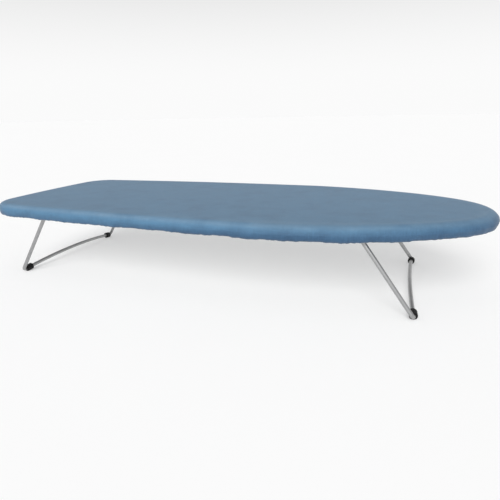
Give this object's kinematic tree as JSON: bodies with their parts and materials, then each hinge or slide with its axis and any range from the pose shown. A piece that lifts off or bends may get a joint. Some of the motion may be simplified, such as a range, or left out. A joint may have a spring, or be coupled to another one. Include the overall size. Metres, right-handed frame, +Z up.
{
  "type": "tabletop ironing board",
  "caption": "Low tabletop ironing board with a padded cotton cover over a perforated steel top and folding wire legs on rubber feet.",
  "frame": {"origin": "on the table, below the middle of the board's length and width", "axes": "+X along the board towards the rounded nose, +Y to the left side seen from the heel, +Z up"},
  "size_m": [0.73, 0.326, 0.117],
  "materials": {
    "cover_cotton": "plain-weave cotton",
    "hem_tape": "folded cotton",
    "elastic": "woven elastic",
    "foam": "open-cell foam backed with felt",
    "panel_steel": "silver-grey powder coat",
    "rim_steel": "silver-grey powder coat",
    "bracket_steel": "zinc-plated pressed steel",
    "rivet_steel": "satin",
    "leg_steel": "zinc-plated wire, satin",
    "cap_steel": "blackened spring steel",
    "foot_rubber": "matte black"
  },
  "bodies": {
    "board": {"cover": "cover_cotton", "hem_casing": "hem_tape", "hem_elastic": "elastic", "foam_pad": "foam", "top_panel": "panel_steel", "rim_frame": "rim_steel", "heel_channel": "panel_steel", "centre_channel": "panel_steel", "nose_channel": "panel_steel", "heel_bracket_left": "bracket_steel", "heel_bracket_right": "bracket_steel", "nose_bracket_left": "bracket_steel", "nose_bracket_right": "bracket_steel", "heel_rivets": "rivet_steel", "nose_rivets": "rivet_steel"},
    "heel_leg": {"heel_leg_wire": "leg_steel", "heel_foot_left": "foot_rubber", "heel_foot_right": "foot_rubber", "heel_pivot_caps": "cap_steel"},
    "nose_leg": {"nose_leg_wire": "leg_steel", "nose_foot_left": "foot_rubber", "nose_foot_right": "foot_rubber", "nose_pivot_caps": "cap_steel"}
  },
  "joints": [
    {"name": "heel_leg_fold", "type": "hinge", "parent": "board", "child": "heel_leg", "pos_m": [-0.27, 0, 0.099], "axis": [0, -1, 0], "range_deg": [0, 121.6]},
    {"name": "nose_leg_fold", "type": "hinge", "parent": "board", "child": "nose_leg", "pos_m": [0.201, 0, 0.099], "axis": [0, 1, 0], "range_deg": [0, 125.9]}
  ]
}
